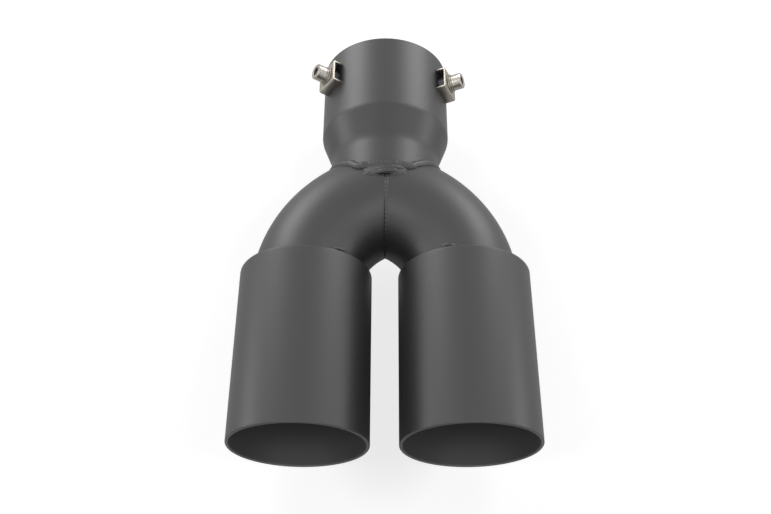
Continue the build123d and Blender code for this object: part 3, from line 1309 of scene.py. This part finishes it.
class TIP_OT_bends(bpy.types.Operator):
    """Make the two bent tubes"""

    bl_idname = "exhaust_tip.bends"
    bl_label = "Bent Tubes"

    def execute(self, context):
        opening = TUBE_RADIUS - 2 * tubes().bend_wall
        start = Vector((0, mitre_seam(0, 0).y, 0))
        for side in SIDES:
            port = rod("port", opening, start, Vector((0, CLAMP_Y, 0)), steps=128)
            piece = cut(new_object("bend", bend_mesh(side)), [port])
            finished(piece, side + "_bend", black_coat(), smooth_angle=50)
        return {"FINISHED"}


class TIP_OT_outlets(bpy.types.Operator):
    """Make the two outlets"""

    bl_idname = "exhaust_tip.outlets"
    bl_label = "Outlets"

    def execute(self, context):
        for side in SIDES:
            piece = new_object("outlet", outlet_mesh(side))
            finished(piece, side + "_outlet", outlet_coat(), smooth_angle=50)
        return {"FINISHED"}


class TIP_OT_welds(bpy.types.Operator):
    """Lay the weld beads"""

    bl_idname = "exhaust_tip.welds"
    bl_label = "Weld Beads"

    def execute(self, context):
        sizes = welds()
        steps = 240
        turns = [FULL_TURN * i / steps for i in range(steps)]
        passes = [bead("neck_pass", neck_path(turns), True, sizes.neck_bead, seed=0, ripple=0.5)]
        passes += short_passes(VALLEY_PASSES, neck_surface, depth=0.35, seed=7)
        passes += short_passes(FOOT_PASSES, bend_surface, depth=0.25, seed=11)
        pieces = {"collar_weld": joined("neck_bead", passes)}
        pieces["mitre_weld"] = bead(
            "mitre_pass", mitre_path(steps), False, sizes.mitre_bead, seed=2, lump=0.6, wander=0.0001
        )
        for side, sign in SIDES.items():
            ring = outlet_path(side, turns)
            around = bead("outlet_pass", ring, True, sizes.outlet_bead, seed=5 + sign, lump=0.8)
            radius = sizes.outlet_bead * sizes.tack_share
            tack = bead("tack_pass", tack_path(side), False, radius, seed=9 + sign, lump=0.8)
            pieces[side + "_outlet_weld"] = joined("outlet_bead", [around, tack])
        for node, piece in pieces.items():
            finished(piece, node, black_coat(), smooth_angle=80)
        return {"FINISHED"}


class TIP_OT_brackets(bpy.types.Operator):
    """Make the clamps' brackets"""

    bl_idname = "exhaust_tip.brackets"
    bl_label = "Clamp Brackets"

    def execute(self, context):
        for side in SIDES:
            piece = seated(bracket_piece("bracket"), side, strip_steel(side))
            finished(piece, side + "_bracket", strip_steel(side), smooth_angle=40)
        return {"FINISHED"}


class TIP_OT_nuts(bpy.types.Operator):
    """Make the welded nuts"""

    bl_idname = "exhaust_tip.nuts"
    bl_label = "Welded Nuts"

    def execute(self, context):
        for side in SIDES:
            piece = seated(nut_piece("nut"), side, nut_coat())
            finished(piece, side + "_nut", nut_coat(), smooth_angle=25)
        return {"FINISHED"}


class TIP_OT_washers(bpy.types.Operator):
    """Make the flat washers and the lock washers"""

    bl_idname = "exhaust_tip.washers"
    bl_label = "Washers"

    def execute(self, context):
        for side in SIDES:
            for made in (flat_washer_piece("flat_washer"), lock_washer_piece("lock_washer")):
                node = side + "_" + made.name
                finished(seated(made, side, washer_steel(side)), node, washer_steel(side))
        return {"FINISHED"}


class TIP_OT_screws(bpy.types.Operator):
    """Make the clamp screws"""

    bl_idname = "exhaust_tip.screws"
    bl_label = "Clamp Screws"

    def execute(self, context):
        for side in SIDES:
            piece = seated(screw_piece("clamp_screw"), side, screw_steel(side))
            node = side + "_clamp_screw"
            finished(piece, node, screw_steel(side), body=side + "_screw", smooth_angle=30)
        return {"FINISHED"}


# Floor, world, lamps and camera


def ray_kinds(tree):
    """1 for camera rays and 0 for the rest, and 1 for glossy and transmission rays and 0 for the rest."""
    rays = add_node(tree, "ShaderNodeLightPath").outputs
    mirrored = add_math(tree, "MAXIMUM", rays["Is Glossy Ray"], rays["Is Transmission Ray"])
    return rays["Is Camera Ray"], mirrored


def softly(tree, value, start, end, low):
    """Value that rises softly from a low value to 1 between a start and an end."""
    inputs = {"Value": value, "From Min": start, "From Max": end, "To Min": low, "To Max": 1.0}
    return add_node(tree, "ShaderNodeMapRange", inputs, interpolation_type="SMOOTHSTEP").outputs[0]


def painted_shade_under(tree):
    """Painted shade: dark between the outlets and 1 away from them."""
    settings = studio()
    middle_y = MOUTH_Y * 0.78
    darkest = 0.06
    core, rim = 0.75, 1.4
    centred = add_vector_math(tree, "SUBTRACT", object_place(tree), (0, middle_y, 0))
    sized = add_vector_math(tree, "DIVIDE", centred, (settings.shade_width, settings.shade_length, 1))
    return softly(tree, add_vector_math(tree, "LENGTH", sized), core, rim, darkest)


def paper_level(tree):
    """Floor's own brightness: its level around the tip, and white far from it."""
    settings = studio()
    distance = add_vector_math(tree, "LENGTH", object_place(tree))
    return softly(tree, distance, settings.paper_start, settings.paper_end, settings.floor_level)


def floor_material():
    """White paper that keeps a soft shadow, with painted shade between the outlets in its colour and in
    its reflections.
    """
    settings = studio()
    material, tree, shader = new_material("studio_floor")
    if tree is None:
        return material
    shader.inputs["Roughness"].default_value = 1
    shader.inputs["Specular IOR Level"].default_value = 0
    shader.inputs["Emission Color"].default_value = (1, 1, 1, 1)
    # Painted shade between the outlets, in the paper's colour and in its brightness in reflections
    under = painted_shade_under(tree)
    paper = tinted(tree, under, [settings.painted_shade_albedo] * 3, [settings.floor_albedo] * 3)
    tree.links.new(paper, shader.inputs["Base Color"])
    direct, mirrored = ray_kinds(tree)
    seen = add_math(tree, "MULTIPLY", direct, paper_level(tree))
    reflected = add_math(tree, "MULTIPLY", under, settings.floor_reflected)
    glow = add_math(tree, "MULTIPLY_ADD", mirrored, reflected, seen)
    tree.links.new(glow, shader.inputs["Emission Strength"])
    return material


def add_floor():
    """Square sheet of paper under the tip."""
    half = studio().floor_size / 2
    height = CAD_BOX[0].z
    corners = [(x, y, height) for x, y in ((-half, -half), (half, -half), (half, half), (-half, half))]
    data = bpy.data.meshes.new("studio_floor")
    data.from_pydata(corners, [], [(0, 1, 2, 3)])
    floor = bpy.data.objects.new("studio_floor", data)
    bpy.context.scene.collection.objects.link(floor)
    data.materials.append(floor_material())


def add_world():
    """Faint light from all around, which camera, glossy and transmission rays see as a white backdrop."""
    world = bpy.data.worlds.new("studio_world")
    world.use_nodes = True
    bpy.context.scene.world = world
    tree = world.node_tree
    tree.nodes.clear()
    seen = add_math(tree, "MAXIMUM", *ray_kinds(tree))
    strength = between(tree, seen, studio().world_level, studio().backdrop_level)
    backdrop = add_node(tree, "ShaderNodeBackground", {"Color": (1, 1, 1, 1), "Strength": strength})
    add_node(tree, "ShaderNodeOutputWorld", {"Surface": backdrop.outputs[0]})


# Each lamp's azimuth from +Y towards +X, its elevation, its width and its height
LAMPS = {
    "left_rear": (-40, 23, 0.55, 0.65),
    "right_rear": (40, 23, 0.55, 0.65),
    "left_flank": (-82, 12, 0.3, 0.3),
    "right_flank": (82, 12, 0.3, 0.3),
    "left_front": (-123, 55, 0.3, 0.3),
    "right_front": (123, 55, 0.3, 0.3),
    "front": (180, 50, 0.7, 0.5),
}
LAMP_DISTANCE = 1.3


def add_lamp(name, azimuth, elevation, width, height):
    """Rectangular soft lamp that looks at the tip from a direction, with its power from the settings."""
    data = bpy.data.lights.new(name, "AREA")
    data.shape = "RECTANGLE"
    data.size = width
    data.size_y = height
    data.energy = getattr(studio(), name)
    turn = radians(azimuth)
    rise = radians(elevation)
    outward = Vector((sin(turn) * cos(rise), cos(turn) * cos(rise), sin(rise)))
    lamp = bpy.data.objects.new(name, data)
    lamp.location = Vector((0, MOUTH_Y / 2, 0)) + outward * LAMP_DISTANCE
    lamp.rotation_euler = (-outward).to_track_quat("-Z", "Y").to_euler()
    bpy.context.scene.collection.objects.link(lamp)


def add_camera():
    """Camera where the photo was taken from."""
    settings = studio()
    data = bpy.data.cameras.new("photo_camera")
    data.lens = settings.lens
    data.sensor_width = settings.sensor
    data.clip_start = 0.01
    camera = bpy.data.objects.new("photo_camera", data)
    camera.location = settings.camera_place
    camera.rotation_euler = Euler(settings.camera_turn)
    bpy.context.scene.collection.objects.link(camera)
    bpy.context.scene.camera = camera


class TIP_OT_stage(bpy.types.Operator):
    """Set up the floor, the world, the lamps and the camera"""

    bl_idname = "exhaust_tip.stage"
    bl_label = "Studio"

    def execute(self, context):
        add_floor()
        add_world()
        for name, placing in LAMPS.items():
            add_lamp(name, *placing)
        add_camera()
        context.scene.view_settings.view_transform = "Standard"
        return {"FINISHED"}


class TIP_PT_panel(bpy.types.Panel):
    """Sizes, finishes and the steps that make the exhaust tip"""

    bl_idname = "TIP_PT_panel"
    bl_label = "Exhaust Tip"
    bl_space_type = "VIEW_3D"
    bl_region_type = "UI"
    bl_category = "Exhaust Tip"

    def draw(self, context):
        for operator in OPERATORS:
            self.layout.operator(operator.bl_idname)
        for name, group in GROUPS.items():
            box = self.layout.box()
            for size in group.__annotations__:
                box.prop(getattr(context.scene, name), size)


GROUPS = {
    "tip_tubes": TubeSizes,
    "tip_welds": WeldSizes,
    "tip_clamps": ClampSizes,
    "tip_finish": TipFinish,
    "tip_studio": StudioSettings,
}
OPERATORS = (
    TIP_OT_collar,
    TIP_OT_bends,
    TIP_OT_outlets,
    TIP_OT_welds,
    TIP_OT_brackets,
    TIP_OT_nuts,
    TIP_OT_washers,
    TIP_OT_screws,
    TIP_OT_stage,
)


def register():
    """Register the property groups, the operators and the panel."""
    for name, group in GROUPS.items():
        bpy.utils.register_class(group)
        setattr(bpy.types.Scene, name, PointerProperty(type=group))
    for operator in OPERATORS:
        bpy.utils.register_class(operator)
    bpy.utils.register_class(TIP_PT_panel)


def unregister():
    """Take back what register did."""
    bpy.utils.unregister_class(TIP_PT_panel)
    for operator in reversed(OPERATORS):
        bpy.utils.unregister_class(operator)
    for name, group in GROUPS.items():
        delattr(bpy.types.Scene, name)
        bpy.utils.unregister_class(group)


def main():
    """Make every piece and the studio."""
    register()
    bpy.ops.exhaust_tip.collar()
    bpy.ops.exhaust_tip.bends()
    bpy.ops.exhaust_tip.outlets()
    bpy.ops.exhaust_tip.welds()
    bpy.ops.exhaust_tip.brackets()
    bpy.ops.exhaust_tip.nuts()
    bpy.ops.exhaust_tip.washers()
    bpy.ops.exhaust_tip.screws()
    bpy.ops.exhaust_tip.stage()


if __name__ == "__main__":
    main()
